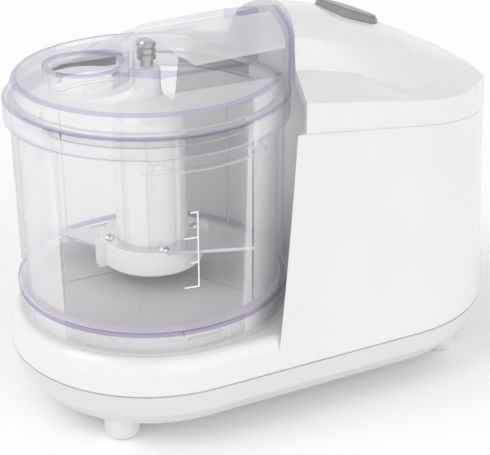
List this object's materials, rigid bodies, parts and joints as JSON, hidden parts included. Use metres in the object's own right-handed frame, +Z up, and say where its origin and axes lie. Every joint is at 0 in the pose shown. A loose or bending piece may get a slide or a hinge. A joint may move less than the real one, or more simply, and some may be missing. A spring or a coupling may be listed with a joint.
{
  "type": "mini food processor",
  "caption": "Small electric food chopper: clear bowl and lid on a white base beside a motor tower with a tilted pulse button.",
  "frame": {"origin": "on the floor under the middle of the base's footprint", "axes": "+Z up, +X from the bowl towards the motor tower, the side seen first faces -Y"},
  "size_m": [0.194, 0.109, 0.1437],
  "materials": {
    "white_gloss": "glossy white moulding",
    "white_lower": "semi-gloss white moulding",
    "foot_white": "satin",
    "steel_screw": "zinc plated",
    "black_rubber": "matte",
    "sintered_bronze": "sintered",
    "belt_rubber": "matte",
    "bracket_alloy": "stamped",
    "lamination_steel": "laminated",
    "copper_wire": "enamelled wire",
    "dark_plastic": "moulded",
    "carbon": "pressed carbon",
    "shaft_steel": "ground",
    "copper_bar": "turned copper",
    "clear_plastic": "clear moulded plastic, polished",
    "mark_print": "light print",
    "dog_plastic": "moulded",
    "hub_white": "white moulding",
    "blade_steel": "polished stainless sheet",
    "rivet_steel": "polished",
    "pivot_chrome": "turned and polished",
    "button_grey": "satin grey moulding",
    "spring_steel": "drawn wire"
  },
  "bodies": {
    "base": {"main_housing": "white_gloss", "bottom_cover": "white_lower", "top_cap": "white_gloss", "foot_bowl_front": "foot_white", "foot_bowl_back": "foot_white", "foot_tower_front": "foot_white", "foot_tower_back": "foot_white", "cover_screws": "steel_screw", "cord_gland": "black_rubber", "spindle_bearing": "sintered_bronze", "drive_belt": "belt_rubber", "lower_bracket": "bracket_alloy", "upper_bracket": "bracket_alloy", "motor_screws": "steel_screw", "lower_bush": "sintered_bronze", "upper_bush": "sintered_bronze", "stator_core": "lamination_steel", "field_windings": "copper_wire", "brush_holders": "dark_plastic", "brushes": "carbon", "switch_bracket": "bracket_alloy", "bracket_screws": "steel_screw", "power_switch": "dark_plastic", "interlock_switch": "dark_plastic", "button_spring": "spring_steel", "interlock_spring": "spring_steel"},
    "spindle": {"spindle_shaft": "shaft_steel", "retaining_clip": "shaft_steel", "large_pulley": "dark_plastic", "drive_dog": "dog_plastic", "blade_hub": "hub_white", "lower_blade": "blade_steel", "upper_blade": "blade_steel", "blade_rivets": "rivet_steel", "top_pivot": "pivot_chrome"},
    "rotor": {"motor_shaft": "shaft_steel", "rotor_core": "lamination_steel", "rotor_windings": "copper_wire", "commutator": "copper_bar", "cooling_fan": "dark_plastic", "small_pulley": "dark_plastic"},
    "bowl": {"bowl": "clear_plastic", "bowl_marks": "mark_print"},
    "lid": {"lid": "clear_plastic"},
    "button": {"pulse_button": "button_grey"},
    "interlock": {"interlock_pin": "hub_white"}
  },
  "joints": [
    {"name": "bowl_turn", "type": "hinge", "parent": "base", "child": "bowl", "pos_m": [-0.0425, 0, 0.0384], "axis": [0, 0, 1], "range_deg": [-25, 0]},
    {"name": "lid_lift", "type": "slide", "parent": "bowl", "child": "lid", "axis": [0, 0, 1], "range_m": [0, 0.1]},
    {"name": "spindle_spin", "type": "hinge", "parent": "base", "child": "spindle", "pos_m": [-0.0425, 0, 0.0384], "axis": [0, 0, 1], "continuous": true},
    {"name": "rotor_spin", "type": "hinge", "parent": "base", "child": "rotor", "pos_m": [0.0555, 0, 0.05], "axis": [0, 0, 1], "continuous": true},
    {"name": "button_press", "type": "slide", "parent": "base", "child": "button", "axis": [0.3502, 0, 0.9367], "range_m": [-0.0025, 0], "stiffness_N_per_m": 400, "springref_m": 0.001, "deforming": ["button_spring"]},
    {"name": "interlock_press", "type": "slide", "parent": "base", "child": "interlock", "axis": [0.9945, 0.1045, 0], "range_m": [0, 0.002], "stiffness_N_per_m": 300, "springref_m": -0.001, "deforming": ["interlock_spring"]}
  ],
  "couplings": [
    {"joint": "rotor_spin", "follows": "spindle_spin", "ratio": 4}
  ]
}
